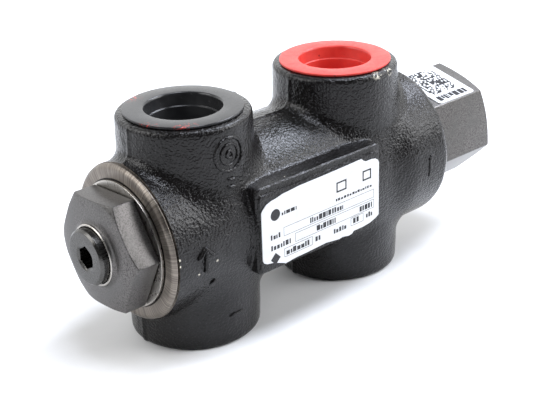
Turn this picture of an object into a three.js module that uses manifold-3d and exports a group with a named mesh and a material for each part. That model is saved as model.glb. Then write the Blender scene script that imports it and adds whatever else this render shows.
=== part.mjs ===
// Inline flow control valve in a black cast-iron body: an adjustable throttle under the hexagon plug
// on the left, a spring-loaded pressure compensator under the tall cap on the right, four threaded
// ports, and plastic protection plugs in the two upper ports.
//
// Units are millimetres and +Z is up. Every sub-part is designed about the main bore, with +X along
// the bore and the origin midway between the ports; the group at the end lifts the valve onto its
// lower port faces and centres it over them.
import * as THREE from 'three';
import { mergeVertices } from 'three/addons/utils/BufferGeometryUtils.js';
import Module from 'manifold-3d';

const wasm = await Module();
wasm.setup();

// ---- driving dimensions ------------------------------------------------------------------------
const PORT_PITCH = 60;          // between the two port centres
const PORT_FACE = 34;           // from the bore axis to each machined port face
const PORT_BORE = 12.1;         // radius: tapping bore of a G 3/4 thread
const PORT_CHAMFER = 1.4;       // countersink round the mouth of a port
const BOSS_RADIUS = 19.5;       // port boss at its face
const BOSS_DRAFT = 0.9;         // growth of that radius towards the bore axis
const BOSS_ROUND = 1.6;         // cast rounding round the rim of a boss

const BARREL_RADIUS = 23.4;     // cast barrel between the two ends
const LEFT_FACE = -53.8;        // machined end face under the hexagon plug
const LEFT_TURNED = 1.2;        // length of the turned, unpainted rim behind that face
const LEFT_RIM = 23.2;
const RIGHT_FACE = 57.3;        // machined end face under the tall cap
const COLLAR_RADIUS = 25.4;     // the barrel grows to this round its right end
const COLLAR_START = 37.0;
const COLLAR_FULL = 43.0;
const COLLAR_ROUND = 3.2;

const PAD_LEFT = -25.2;         // flat pad for the name plate, across the front of the barrel
const PAD_RIGHT = 24.8;
const PAD_BOTTOM = -12.3;
const PAD_TOP = 14.5;
const PAD_FACE = 24.4;          // from the bore axis to the face of the pad
const PLATE_LAND = 0.8;         // raised land that the name plate is stuck on
const REAR_LAND = 1.15;         // the blank land on the back of the barrel
const PLATE = { x: -0.5, z: 0.3, width: 47.6, height: 23.4, corner: 1.6, thick: 0.3 };
const PLATE_MARGIN = 0.4;       // of the land round the name plate
const LABEL_LIFT = 0.05;        // between a label and what it is stuck on
const CAP_LABEL = { x: 74.6, forward: 0.5, length: 18.6, width: 17.4, corner: 1.2, thick: 0.25 };

const CHAMBER_BORE = 13.0;      // radius of the two oil chambers
const WEB_HALF = 9.0;           // half the thickness of the web between the chambers
const WEB_BORE = 10.1;
const END_THREAD_BORE = 15.1;   // radius bored out for the plug and cap threads
const END_THREAD_LENGTH = 12.0;

const WASHER_RADIUS = 18.8;
const WASHER_THICK = 0.9;
const GAP = 0.1;                // working gap between faces that touch

const PLUG_FLATS = 32.0;        // hexagon of the left plug, across flats
const PLUG_TILT = 56.65;        // degrees, a corner of that hexagon from +Y towards +Z
const PLUG_SEAT = LEFT_FACE - WASHER_THICK - 2 * GAP;
const PLUG_FRONT = -63.5;       // middle of its slightly domed face
const PLUG_CHAMFER = 19.4;      // radius at which the chamfer round that face ends
const PLUG_INNER = -43.3;       // inner end of its threaded shank
const SHANK_RADIUS = END_THREAD_BORE - 0.15;
const NECK_RIM = -64.6;         // raised rim round the spindle
const NECK_RADIUS = 9.6;

const SPINDLE_HEAD = 8.25;      // radius of the head of the adjusting spindle
const SPINDLE_BORE = 8.35;
const SPINDLE_FACE = -67.05;
const SPINDLE_THREAD = 6.05;    // radius: M12 x 1.5
const SPINDLE_THREAD_BORE = 6.15;
const SPINDLE_IN = 4.5;         // travel from rest until the throttle is shut, three turns
const SOCKET_FLATS = 6.0;       // hexagon socket, across flats
const SOCKET_DEPTH = 5.2;
const SPINDLE_SHOULDER = -56.3; // where the head steps down to the thread
const O_RING = { station: -59.4, centre: 7.4, section: 0.85 };
const BACKUP = { from: -58.3, to: -57.5, inner: 6.55 };
const STOP_RING = { from: -41.8, to: -40.6, groove: 4.6, outer: 7.8 };
const SWIVEL_CLIP = { from: -36.6, to: -35.6, inner: 3.2, outer: 5.4 };
const SPINDLE_BUTTON = { neckFrom: -39.0, neck: 3.0, from: -35.2, radius: 4.4, tip: 2.6, end: -32.6 };
const SWIVEL_BORE = 4.6;        // hole in the cone for the button at the tip of the spindle
const GUIDE_PIN = { z: -10.4, radius: 1.2, from: -47.0, to: -30.5 };
const FLANGE = { from: -38.6, to: -36.2, radius: 12.2 };
const CONE = { start: -19.6, end: -9.1, large: 8.0, small: 2.9 };

const ORIFICE = 6.0;            // radius of the bore of the seat bush
const SEAT_LEFT = -11.0;
const SEAT_RIGHT = 9.5;
const SEAT_GROOVE = { from: -1.2, to: 1.2, radius: 8.3 };
const SEAT_CLIP = { from: -12.5, to: -11.1, inner: 11.0, groove: 13.9 };

const CAP_FLATS = 33.0;         // hexagon of the right cap, across flats
const CAP_TILT = 17.0;          // degrees, a corner of that hexagon from +Y towards +Z
const CAP_SEAT = RIGHT_FACE + WASHER_THICK + 2 * GAP;
const CAP_END = 87.2;
const CAP_INNER = 45.6;         // inner end of its threaded shank
const CAP_BORE = 10.2;          // radius of the spring chamber inside it
const CAP_BORE_END = 82.2;
const CAP_CHAMFER = { start: 20.0, end: 15.2, length: 2.4 };
const BUSH = { from: 48.2, to: 53.0, radius: 11.2 };
const BUSH_CLIP = { from: 46.6, to: 47.9, inner: 9.6, groove: 12.3 };
const POPPET = { tip: 6.6, head: 8.6, seat: 12.6, back: 16.8, neck: 18.0, stem: 4.0, end: 62.4 };
const PLATE_SEAT = { from: 55.6, to: 57.8, rim: 9.4, hub: 5.6, hubEnd: 60.0, hole: 3.15 };
const LOCK_CLIP = { from: 60.3, to: 61.2, groove: 2.4, outer: 4.8 };
const SPRING = { from: 58.0, to: 80.5, centre: 7.6, wire: 0.9, turns: 6 };
const SHIM = { from: 80.7, to: 81.9, inner: 4.0, outer: 9.8 };

const CUP = { bottom: 20.0, floor: 21.0, inner: 10.0, step: 10.3, shank: 11.4, mouth: 11.25 };
const CUP_STEP_DEPTH = 3.9;     // from the flange down to the step inside the cup
const FLANGE_RADIUS = 17.4;
const FLANGE_THICK = 0.8;

const BODY_SIDES = 40;
const BORE_SIDES = 32;
const SMALL_SIDES = 24;
const PIN_SIDES = 12;
const MERGE_DISTANCE = 1e-4;

// ---- helpers -----------------------------------------------------------------------------------
const degrees = (angle) => THREE.MathUtils.degToRad(angle);

// A closed three.js geometry as a solid that can be joined and cut.
function solid(geometry) {
  geometry.deleteAttribute('normal');
  geometry.deleteAttribute('uv');
  const merged = mergeVertices(geometry, MERGE_DISTANCE);
  return new wasm.Manifold(new wasm.Mesh({
    numProp: 3,
    vertProperties: new Float32Array(merged.attributes.position.array),
    triVerts: new Uint32Array(merged.index.array),
  }));
}

function geometryOf(shape) {
  const mesh = shape.getMesh();
  const geometry = new THREE.BufferGeometry();
  geometry.setAttribute('position', new THREE.BufferAttribute(mesh.vertProperties, 3));
  geometry.setIndex(new THREE.BufferAttribute(mesh.triVerts, 1));
  geometry.computeVertexNormals();
  return geometry;
}

// A profile of [along, radius] points turned about the bore. It starts and ends on the axis, or it
// closes on itself, and it runs so that the material lies on its left.
function turnedX(profile, sides = BORE_SIDES) {
  const points = profile.map(([along, radius]) => new THREE.Vector2(radius, along));
  return new THREE.LatheGeometry(points, sides).rotateZ(-Math.PI / 2);
}

// The same, turned about a vertical axis at x.
function turnedZ(profile, x, sides = BORE_SIDES) {
  const points = profile.map(([height, radius]) => new THREE.Vector2(radius, height));
  return new THREE.LatheGeometry(points, sides).rotateX(Math.PI / 2).translate(x, 0, 0);
}

// A plain disc or rod along the bore, from one station to another.
function rodX(from, to, radius, sides = BORE_SIDES) {
  return turnedX([[from, 0], [from, radius], [to, radius], [to, 0]], sides);
}

function ringX(from, to, inner, outer, sides = BORE_SIDES) {
  return turnedX([[from, inner], [from, outer], [to, outer], [to, inner], [from, inner]], sides);
}

// Points of a circular arc, for a rounded edge in a profile.
function arc(alongCentre, radiusCentre, size, startDegrees, endDegrees, steps = 4) {
  return Array.from({ length: steps + 1 }, (_, index) => {
    const angle = degrees(startDegrees + (endDegrees - startDegrees) * index / steps);
    return [alongCentre + size * Math.cos(angle), radiusCentre + size * Math.sin(angle)];
  });
}

// An O-ring: a round section turned about the bore.
function oRing(station, centreRadius, sectionRadius) {
  return turnedX(arc(station, centreRadius, sectionRadius, 360, 0, 6), SMALL_SIDES);
}

// A hexagonal prism along the bore, with one corner at cornerDegrees from +Y towards +Z.
function hexagonX(from, to, acrossFlats, cornerDegrees) {
  const cornerRadius = acrossFlats / Math.sqrt(3);
  const outline = new THREE.Shape();
  for (let corner = 0; corner < 6; corner += 1) {
    const angle = degrees(cornerDegrees + 60 * corner);
    const point = [cornerRadius * Math.cos(angle), cornerRadius * Math.sin(angle)];
    if (corner === 0) outline.moveTo(...point);
    else outline.lineTo(...point);
  }
  outline.closePath();
  const prism = new THREE.ExtrudeGeometry(outline, { depth: to - from, bevelEnabled: false });
  const axes = new THREE.Matrix4().makeBasis(
    new THREE.Vector3(0, 1, 0), new THREE.Vector3(0, 0, 1), new THREE.Vector3(1, 0, 0));
  return prism.applyMatrix4(axes).translate(from, 0, 0);
}

// A rectangle with rounded corners in the X-Z plane, thickened along Y between two stations.
function roundedPlate(centreX, centreZ, width, height, corner, fromY, toY) {
  const outline = new THREE.Shape();
  const halfWidth = width / 2 - corner;
  const halfHeight = height / 2 - corner;
  outline.absarc(halfWidth, halfHeight, corner, 0, Math.PI / 2, false);
  outline.absarc(-halfWidth, halfHeight, corner, Math.PI / 2, Math.PI, false);
  outline.absarc(-halfWidth, -halfHeight, corner, Math.PI, 1.5 * Math.PI, false);
  outline.absarc(halfWidth, -halfHeight, corner, 1.5 * Math.PI, 2 * Math.PI, false);
  outline.closePath();
  const options = { depth: toY - fromY, bevelEnabled: false, curveSegments: 2 };
  const plate = new THREE.ExtrudeGeometry(outline, options).rotateX(Math.PI / 2);
  return plate.translate(centreX, toY, centreZ);
}

// An open retaining ring: a ring with a wedge cut out of its lower side.
function openRing(from, to, inner, outer, openingWidth) {
  const cut = new THREE.BoxGeometry(to - from + 2, openingWidth, outer);
  cut.translate((from + to) / 2, 0, -(inner + outer) / 2);
  return geometryOf(solid(ringX(from, to, inner, outer, SMALL_SIDES)).subtract(solid(cut)));
}

const finishes = {
  castIron: { color: 0x2b2c2f, roughness: 0.62, metalness: 0.1 },
  steel: { color: 0x84847f, roughness: 0.42, metalness: 0.9 },
  softSteel: { color: 0xa9a59c, roughness: 0.38, metalness: 0.9 },
  springSteel: { color: 0x6f7276, roughness: 0.35, metalness: 0.95 },
  bronze: { color: 0xb08a4a, roughness: 0.4, metalness: 0.9 },
  rubber: { color: 0x161616, roughness: 0.8, metalness: 0 },
  whitePlastic: { color: 0xe8e6df, roughness: 0.5, metalness: 0 },
  blackPlastic: { color: 0x17181a, roughness: 0.25, metalness: 0 },
  redPlastic: { color: 0xd62f2c, roughness: 0.4, metalness: 0 },
  label: { color: 0xf2f4f5, roughness: 0.55, metalness: 0 },
};

function piece(name, geometry, finish) {
  const mesh = new THREE.Mesh(geometry, new THREE.MeshStandardMaterial(finishes[finish]));
  mesh.name = name;
  return mesh;
}

// ---- the casting -------------------------------------------------------------------------------
function barrel() {
  const round = arc(RIGHT_FACE - COLLAR_ROUND, COLLAR_RADIUS - COLLAR_ROUND, COLLAR_ROUND, 90, 0, 3);
  return turnedX([
    [LEFT_FACE, 0],
    [LEFT_FACE, LEFT_RIM - 0.4],
    [LEFT_FACE + 0.6, LEFT_RIM],
    [LEFT_FACE + LEFT_TURNED, LEFT_RIM],
    [LEFT_FACE + LEFT_TURNED + 0.3, BARREL_RADIUS],
    [COLLAR_START, BARREL_RADIUS],
    [COLLAR_FULL, COLLAR_RADIUS],
    ...round,
    [RIGHT_FACE, 0],
  ], BODY_SIDES);
}

// Both bosses of one port, from the lower face to the upper one.
function portBosses(x) {
  const rim = BOSS_RADIUS - BOSS_ROUND;
  const edge = PORT_FACE - BOSS_ROUND;
  return turnedZ([
    [-PORT_FACE, 0],
    ...arc(-edge, rim, BOSS_ROUND, 180, 90, 2),
    [0, BOSS_RADIUS + BOSS_DRAFT],
    ...arc(edge, rim, BOSS_ROUND, 90, 0, 2),
    [PORT_FACE, 0],
  ], x, BODY_SIDES);
}

function pads() {
  const centreX = (PAD_LEFT + PAD_RIGHT) / 2;
  const centreZ = (PAD_BOTTOM + PAD_TOP) / 2;
  const width = PAD_RIGHT - PAD_LEFT;
  const height = PAD_TOP - PAD_BOTTOM;
  const through = roundedPlate(centreX, centreZ, width, height, 1.5, -PAD_FACE, PAD_FACE);
  const { x, z, corner } = PLATE;
  const land = roundedPlate(x, z, PLATE.width + 2 * PLATE_MARGIN, PLATE.height + 2 * PLATE_MARGIN, corner,
    -PAD_FACE - PLATE_LAND, PAD_FACE + REAR_LAND);
  return solid(through).add(solid(land));
}

function boreCuts() {
  const endBore = END_THREAD_BORE;
  const main = turnedX([
    [LEFT_FACE - 1, 0],
    [LEFT_FACE - 1, endBore + 0.8],
    [LEFT_FACE, endBore + 0.8],
    [LEFT_FACE + 0.8, endBore],
    [LEFT_FACE + END_THREAD_LENGTH, endBore],
    [LEFT_FACE + END_THREAD_LENGTH, CHAMBER_BORE],
    [-WEB_HALF, CHAMBER_BORE],
    [-WEB_HALF, WEB_BORE],
    [WEB_HALF, WEB_BORE],
    [WEB_HALF, CHAMBER_BORE],
    [RIGHT_FACE - END_THREAD_LENGTH, CHAMBER_BORE],
    [RIGHT_FACE - END_THREAD_LENGTH, endBore],
    [RIGHT_FACE - 0.8, endBore],
    [RIGHT_FACE, endBore + 0.8],
    [RIGHT_FACE + 1, endBore + 0.8],
    [RIGHT_FACE + 1, 0],
  ], BORE_SIDES);
  const mouth = PORT_BORE + PORT_CHAMFER;
  const ports = [-1, 1].map((side) => turnedZ([
    [-PORT_FACE - 1, 0],
    [-PORT_FACE - 1, mouth],
    [-PORT_FACE, mouth],
    [-PORT_FACE + PORT_CHAMFER, PORT_BORE],
    [PORT_FACE - PORT_CHAMFER, PORT_BORE],
    [PORT_FACE, mouth],
    [PORT_FACE + 1, mouth],
    [PORT_FACE + 1, 0],
  ], side * PORT_PITCH / 2, BORE_SIDES));
  const ringGroove = rodX(SEAT_CLIP.from, SEAT_CLIP.to, SEAT_CLIP.groove);
  return ports.reduce((cut, port) => cut.add(solid(port)), solid(main).add(solid(ringGroove)));
}

function valveBody() {
  const outside = [-1, 1].reduce(
    (shape, side) => shape.add(solid(portBosses(side * PORT_PITCH / 2))),
    solid(barrel()).add(pads()));
  return geometryOf(outside.subtract(boreCuts()));
}

// ---- left end: plug, spindle and throttle ------------------------------------------------------
function endPlug() {
  const hexagon = solid(hexagonX(PLUG_FRONT - 1, PLUG_SEAT, PLUG_FLATS, PLUG_TILT));
  const dome = solid(turnedX([
    [PLUG_FRONT, 0],
    [PLUG_FRONT, 10.0],
    [PLUG_FRONT + 0.2, 13.5],
    [PLUG_FRONT + 0.6, 16.6],
    [PLUG_FRONT + 1.9, PLUG_CHAMFER],
    [PLUG_SEAT, PLUG_CHAMFER],
    [PLUG_SEAT, 0],
  ], BODY_SIDES));
  const neck = turnedX([
    [NECK_RIM, 0],
    [NECK_RIM, 8.75],
    [NECK_RIM + 0.3, 9.05],
    [PLUG_FRONT + 0.1, NECK_RADIUS],
    [PLUG_FRONT + 1, NECK_RADIUS],
    [PLUG_FRONT + 1, 0],
  ]);
  const shank = rodX(PLUG_SEAT - 1, PLUG_INNER, SHANK_RADIUS);
  const boreStep = SPINDLE_SHOULDER + SPINDLE_IN + 0.3;
  const bore = turnedX([
    [NECK_RIM - 1, 0],
    [NECK_RIM - 1, SPINDLE_BORE],
    [boreStep, SPINDLE_BORE],
    [boreStep, SPINDLE_THREAD_BORE],
    [PLUG_INNER + 1, SPINDLE_THREAD_BORE],
    [PLUG_INNER + 1, 0],
  ]);
  const pinHole = rodX(GUIDE_PIN.from - GAP, PLUG_INNER + 1, GUIDE_PIN.radius + 0.05, PIN_SIDES);
  pinHole.translate(0, 0, GUIDE_PIN.z);
  const blank = hexagon.intersect(dome).add(solid(neck)).add(solid(shank));
  return geometryOf(blank.subtract(solid(bore)).subtract(solid(pinHole)));
}

function adjustingSpindle() {
  const sealGroove = O_RING.centre - O_RING.section - GAP;
  const turned = turnedX([
    [SPINDLE_FACE, 0],
    [SPINDLE_FACE, SPINDLE_HEAD - 0.7],
    [SPINDLE_FACE + 0.7, SPINDLE_HEAD],
    [O_RING.station - 0.95, SPINDLE_HEAD],
    [O_RING.station - 0.95, sealGroove],
    [BACKUP.to + GAP, sealGroove],
    [BACKUP.to + GAP, SPINDLE_HEAD],
    [SPINDLE_SHOULDER, SPINDLE_HEAD],
    [SPINDLE_SHOULDER, SPINDLE_THREAD],
    [STOP_RING.from - GAP, SPINDLE_THREAD],
    [STOP_RING.from - GAP, STOP_RING.groove],
    [STOP_RING.to + GAP, STOP_RING.groove],
    [STOP_RING.to + GAP, SPINDLE_THREAD],
    [SPINDLE_BUTTON.neckFrom - 0.4, SPINDLE_THREAD],
    [SPINDLE_BUTTON.neckFrom, SPINDLE_THREAD - 0.45],
    [SPINDLE_BUTTON.neckFrom, SPINDLE_BUTTON.neck],
    [SPINDLE_BUTTON.from, SPINDLE_BUTTON.neck],
    [SPINDLE_BUTTON.from, SPINDLE_BUTTON.radius],
    [SPINDLE_BUTTON.end - 0.8, SPINDLE_BUTTON.radius],
    [SPINDLE_BUTTON.end, SPINDLE_BUTTON.tip],
    [SPINDLE_BUTTON.end, 0],
  ]);
  const socket = hexagonX(SPINDLE_FACE - 1, SPINDLE_FACE + SOCKET_DEPTH, SOCKET_FLATS, 90);
  const drillPoint = turnedX([
    [SPINDLE_FACE + SOCKET_DEPTH - 0.5, 0],
    [SPINDLE_FACE + SOCKET_DEPTH - 0.5, 2.6],
    [SPINDLE_FACE + SOCKET_DEPTH, 2.6],
    [SPINDLE_FACE + SOCKET_DEPTH + 1.4, 0],
  ], SMALL_SIDES);
  return geometryOf(solid(turned).subtract(solid(socket)).subtract(solid(drillPoint)));
}

// The throttle cone swivels on the button at the tip of the spindle and does not turn: its flange
// slides on the guide pin.
function throttleCone() {
  const outside = turnedX([
    [FLANGE.from, 0],
    [FLANGE.from, FLANGE.radius],
    [FLANGE.to, FLANGE.radius],
    [FLANGE.to, CONE.large],
    [CONE.start, CONE.large],
    [CONE.end, CONE.small],
    [CONE.end, 0],
  ]);
  const swivelEnd = SPINDLE_BUTTON.end + 0.3;
  const swivel = turnedX([
    [FLANGE.from - 0.4, 0],
    [FLANGE.from - 0.4, SWIVEL_CLIP.outer + GAP],
    [SWIVEL_CLIP.to + GAP, SWIVEL_CLIP.outer + GAP],
    [SWIVEL_CLIP.to + GAP, SWIVEL_BORE],
    [swivelEnd, SWIVEL_BORE],
    [swivelEnd, 0],
  ], SMALL_SIDES);
  const pinHole = rodX(FLANGE.from - 1, FLANGE.to + 1, GUIDE_PIN.radius + GAP, PIN_SIDES);
  pinHole.translate(0, 0, GUIDE_PIN.z);
  return geometryOf(solid(outside).subtract(solid(swivel)).subtract(solid(pinHole)));
}

// ---- middle: seat bush --------------------------------------------------------------------------
function seatBush() {
  return turnedX([
    [SEAT_LEFT, ORIFICE + 0.3],
    [SEAT_LEFT, CHAMBER_BORE - 0.3],
    [-WEB_HALF - GAP, CHAMBER_BORE - 0.3],
    [-WEB_HALF - GAP, WEB_BORE - 0.1],
    [SEAT_GROOVE.from, WEB_BORE - 0.1],
    [SEAT_GROOVE.from, SEAT_GROOVE.radius],
    [SEAT_GROOVE.to, SEAT_GROOVE.radius],
    [SEAT_GROOVE.to, WEB_BORE - 0.1],
    [SEAT_RIGHT - 0.5, WEB_BORE - 0.1],
    [SEAT_RIGHT, WEB_BORE - 0.6],
    [SEAT_RIGHT, ORIFICE + 0.5],
    [SEAT_RIGHT - 0.5, ORIFICE],
    [SEAT_LEFT + 0.3, ORIFICE],
    [SEAT_LEFT, ORIFICE + 0.3],
  ], SMALL_SIDES);
}

// ---- right end: poppet, spring and cap ---------------------------------------------------------
function valvePoppet() {
  const spigot = PLATE_SEAT.hole - 0.15;
  return turnedX([
    [POPPET.tip, 0],
    [POPPET.tip, POPPET.stem],
    [POPPET.tip + 0.6, POPPET.stem + 0.4],
    [POPPET.seat, POPPET.head],
    [POPPET.back, POPPET.head],
    [POPPET.neck, POPPET.stem],
    [PLATE_SEAT.from - GAP, POPPET.stem],
    [PLATE_SEAT.from - GAP, spigot],
    [LOCK_CLIP.from - GAP, spigot],
    [LOCK_CLIP.from - GAP, LOCK_CLIP.groove],
    [LOCK_CLIP.to + GAP, LOCK_CLIP.groove],
    [LOCK_CLIP.to + GAP, spigot],
    [POPPET.end - 0.4, spigot],
    [POPPET.end, spigot - 0.4],
    [POPPET.end, 0],
  ], SMALL_SIDES);
}

function springPlate() {
  return turnedX([
    [PLATE_SEAT.from, PLATE_SEAT.hole],
    [PLATE_SEAT.from, PLATE_SEAT.rim],
    [PLATE_SEAT.to, PLATE_SEAT.rim],
    [PLATE_SEAT.to, PLATE_SEAT.hub],
    [PLATE_SEAT.hubEnd, PLATE_SEAT.hub],
    [PLATE_SEAT.hubEnd, PLATE_SEAT.hole],
    [PLATE_SEAT.from, PLATE_SEAT.hole],
  ], SMALL_SIDES);
}

// A compression spring with closed ends: the pitch eases to the wire's own thickness at both ends.
class SpringPath extends THREE.Curve {
  getPoint(along, target = new THREE.Vector3()) {
    const closed = 1 / SPRING.turns;
    const start = SPRING.from + SPRING.wire;
    const end = SPRING.to - SPRING.wire;
    const endRise = 2 * SPRING.wire + 0.15;
    const middle = (along - closed) / (1 - 2 * closed);
    let station = start + endRise + (end - start - 2 * endRise) * middle;
    if (along < closed) station = start + endRise * along / closed;
    if (along > 1 - closed) station = end - endRise * (1 - along) / closed;
    const angle = 2 * Math.PI * SPRING.turns * along;
    return target.set(station, SPRING.centre * Math.cos(angle), SPRING.centre * Math.sin(angle));
  }
}

function compensatorSpring() {
  const section = new THREE.Shape();
  section.absarc(0, 0, SPRING.wire, 0, 2 * Math.PI, false);
  return new THREE.ExtrudeGeometry(section, {
    steps: 12 * SPRING.turns,
    curveSegments: 4,
    bevelEnabled: false,
    extrudePath: new SpringPath(),
  });
}

function guideBush() {
  return ringX(BUSH.from, BUSH.to, POPPET.stem + GAP, BUSH.radius - GAP, SMALL_SIDES);
}

function hexCap() {
  const hexagon = solid(hexagonX(CAP_SEAT, CAP_END, CAP_FLATS, CAP_TILT));
  const chamfer = solid(turnedX([
    [CAP_SEAT, 0],
    [CAP_SEAT, CAP_CHAMFER.start],
    [CAP_END - CAP_CHAMFER.length, CAP_CHAMFER.start],
    [CAP_END, CAP_CHAMFER.end],
    [CAP_END, 0],
  ], BODY_SIDES));
  const shank = rodX(CAP_INNER, CAP_SEAT + 1, SHANK_RADIUS);
  const bore = turnedX([
    [CAP_INNER - 1, 0],
    [CAP_INNER - 1, BUSH.radius],
    [BUSH_CLIP.from - GAP, BUSH.radius],
    [BUSH_CLIP.from - GAP, BUSH_CLIP.groove],
    [BUSH_CLIP.to + GAP, BUSH_CLIP.groove],
    [BUSH_CLIP.to + GAP, BUSH.radius],
    [BUSH.to + GAP, BUSH.radius],
    [BUSH.to + GAP, CAP_BORE],
    [CAP_BORE_END, CAP_BORE],
    [CAP_BORE_END + 1.5, 0],
  ]);
  return geometryOf(hexagon.intersect(chamfer).add(solid(shank)).subtract(solid(bore)));
}

// ---- protection plugs ---------------------------------------------------------------------------
// A thin cup with a flange: a tapered recess, a step, and a deeper cup below it.
function portPlug(x) {
  const seat = PORT_FACE + GAP;
  const top = seat + FLANGE_THICK;
  return turnedZ([
    [CUP.bottom, 0],
    [CUP.bottom, CUP.shank],
    [seat, PORT_BORE - 0.15],
    [seat, FLANGE_RADIUS - 0.1],
    [top - 0.15, FLANGE_RADIUS],
    [top, FLANGE_RADIUS - 0.2],
    [top, CUP.mouth + 0.15],
    [top - 0.2, CUP.mouth],
    [top - CUP_STEP_DEPTH, CUP.mouth - 0.6],
    [top - CUP_STEP_DEPTH, CUP.step],
    [CUP.floor, CUP.inner],
    [CUP.floor, 0],
  ], x);
}

// ---- labels -------------------------------------------------------------------------------------
function namePlate() {
  const back = -PAD_FACE - PLATE_LAND - LABEL_LIFT;
  const { x, z, width, height, corner, thick } = PLATE;
  return roundedPlate(x, z, width, height, corner, back - thick, back);
}

// A small data label on the upper flat of the cap, made flat and then turned onto that flat.
function capLabel() {
  const face = -CAP_FLATS / 2;
  const { x, forward, length, width, corner, thick } = CAP_LABEL;
  const label = roundedPlate(x, -forward, length, width, corner,
    face - LABEL_LIFT - thick, face - LABEL_LIFT);
  return label.rotateX(degrees(CAP_TILT - 90));
}

// ---- assembly -----------------------------------------------------------------------------------
const washer = (from) => ringX(from, from + WASHER_THICK, END_THREAD_BORE + 0.15, WASHER_RADIUS);
const half = PORT_PITCH / 2;
const pin = rodX(GUIDE_PIN.from, GUIDE_PIN.to, GUIDE_PIN.radius, PIN_SIDES);
pin.translate(0, 0, GUIDE_PIN.z);

const parts = [
  piece('valve_body', valveBody(), 'castIron'),
  piece('end_plug', endPlug(), 'steel'),
  piece('end_plug_seal_ring', washer(LEFT_FACE - GAP - WASHER_THICK), 'softSteel'),
  piece('adjusting_spindle', adjustingSpindle(), 'steel'),
  piece('spindle_o_ring', oRing(O_RING.station, O_RING.centre, O_RING.section), 'rubber'),
  piece('spindle_backup_ring', ringX(BACKUP.from, BACKUP.to, BACKUP.inner, SPINDLE_HEAD, SMALL_SIDES),
    'whitePlastic'),
  piece('spindle_stop_ring',
    openRing(STOP_RING.from, STOP_RING.to, STOP_RING.groove + GAP, STOP_RING.outer, 5), 'springSteel'),
  piece('throttle_cone', throttleCone(), 'softSteel'),
  piece('cone_swivel_clip',
    openRing(SWIVEL_CLIP.from, SWIVEL_CLIP.to, SWIVEL_CLIP.inner, SWIVEL_CLIP.outer, 4), 'springSteel'),
  piece('cone_guide_pin', pin, 'softSteel'),
  piece('seat_bush', seatBush(), 'softSteel'),
  piece('seat_o_ring', oRing(0, 9.2, 0.8), 'rubber'),
  piece('seat_retaining_ring',
    openRing(SEAT_CLIP.from + GAP, SEAT_CLIP.to - GAP, SEAT_CLIP.inner, SEAT_CLIP.groove - GAP, 5),
    'springSteel'),
  piece('compensator_poppet', valvePoppet(), 'softSteel'),
  piece('spring_plate', springPlate(), 'steel'),
  piece('spring_plate_clip',
    openRing(LOCK_CLIP.from, LOCK_CLIP.to, LOCK_CLIP.groove + GAP, LOCK_CLIP.outer, 2.6), 'springSteel'),
  piece('compensator_spring', compensatorSpring(), 'springSteel'),
  piece('spring_shim', ringX(SHIM.from, SHIM.to, SHIM.inner, SHIM.outer, SMALL_SIDES), 'steel'),
  piece('guide_bush', guideBush(), 'bronze'),
  piece('guide_bush_clip',
    openRing(BUSH_CLIP.from, BUSH_CLIP.to, BUSH_CLIP.inner, BUSH_CLIP.groove - GAP, 5), 'springSteel'),
  piece('hex_cap', hexCap(), 'steel'),
  piece('cap_seal_ring', washer(RIGHT_FACE + GAP), 'softSteel'),
  piece('port_plug_black', portPlug(-half), 'blackPlastic'),
  piece('port_plug_red', portPlug(half), 'redPlastic'),
  piece('name_plate', namePlate(), 'label'),
  piece('cap_data_label', capLabel(), 'label'),
];

const valve = new THREE.Group();
valve.add(...parts);
valve.position.set(-(SPINDLE_FACE + CAP_END) / 2, 0, PORT_FACE);

export default valve;
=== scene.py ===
import math

import bmesh
import bpy
import numpy as np
from mathutils import Matrix, Vector


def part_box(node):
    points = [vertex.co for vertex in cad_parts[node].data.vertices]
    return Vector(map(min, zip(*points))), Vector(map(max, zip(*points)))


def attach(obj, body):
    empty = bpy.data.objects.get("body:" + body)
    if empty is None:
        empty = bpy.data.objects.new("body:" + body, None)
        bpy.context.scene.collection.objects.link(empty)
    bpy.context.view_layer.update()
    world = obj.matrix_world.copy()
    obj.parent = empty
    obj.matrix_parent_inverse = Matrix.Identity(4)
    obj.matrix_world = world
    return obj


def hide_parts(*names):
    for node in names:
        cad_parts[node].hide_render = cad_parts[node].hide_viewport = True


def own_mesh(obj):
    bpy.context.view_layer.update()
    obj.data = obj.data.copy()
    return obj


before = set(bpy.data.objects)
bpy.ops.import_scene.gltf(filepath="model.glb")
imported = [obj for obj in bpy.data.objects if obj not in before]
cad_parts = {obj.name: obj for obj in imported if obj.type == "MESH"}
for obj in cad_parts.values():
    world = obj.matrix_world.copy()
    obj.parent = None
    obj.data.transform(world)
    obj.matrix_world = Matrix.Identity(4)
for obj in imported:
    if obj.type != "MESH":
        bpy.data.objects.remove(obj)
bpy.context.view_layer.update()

# Lengths below are millimetres in the bore frame: +X along the main bore, the origin on the bore
# axis midway between the ports, +Z up. piece() turns them into the metres of the CAD frame.
MM = 0.001
TURN = 2 * math.pi


def box_mm(node):
    low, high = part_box(node)
    return np.array(low) / MM, np.array(high) / MM


def bore_origin():
    black = np.mean(box_mm("port_plug_black"), axis=0)
    red = np.mean(box_mm("port_plug_red"), axis=0)
    body_low, body_high = box_mm("valve_body")
    return np.array([(black[0] + red[0]) / 2, 0, (body_low[2] + body_high[2]) / 2])


ORIGIN = bore_origin()


def along(node):
    """First and last station of a node on the bore axis."""
    low, high = box_mm(node)
    return low[0] - ORIGIN[0], high[0] - ORIGIN[0]


def upward(node):
    """Lowest and highest point of a node, from the bore axis."""
    low, high = box_mm(node)
    return low[2] - ORIGIN[2], high[2] - ORIGIN[2]


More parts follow.
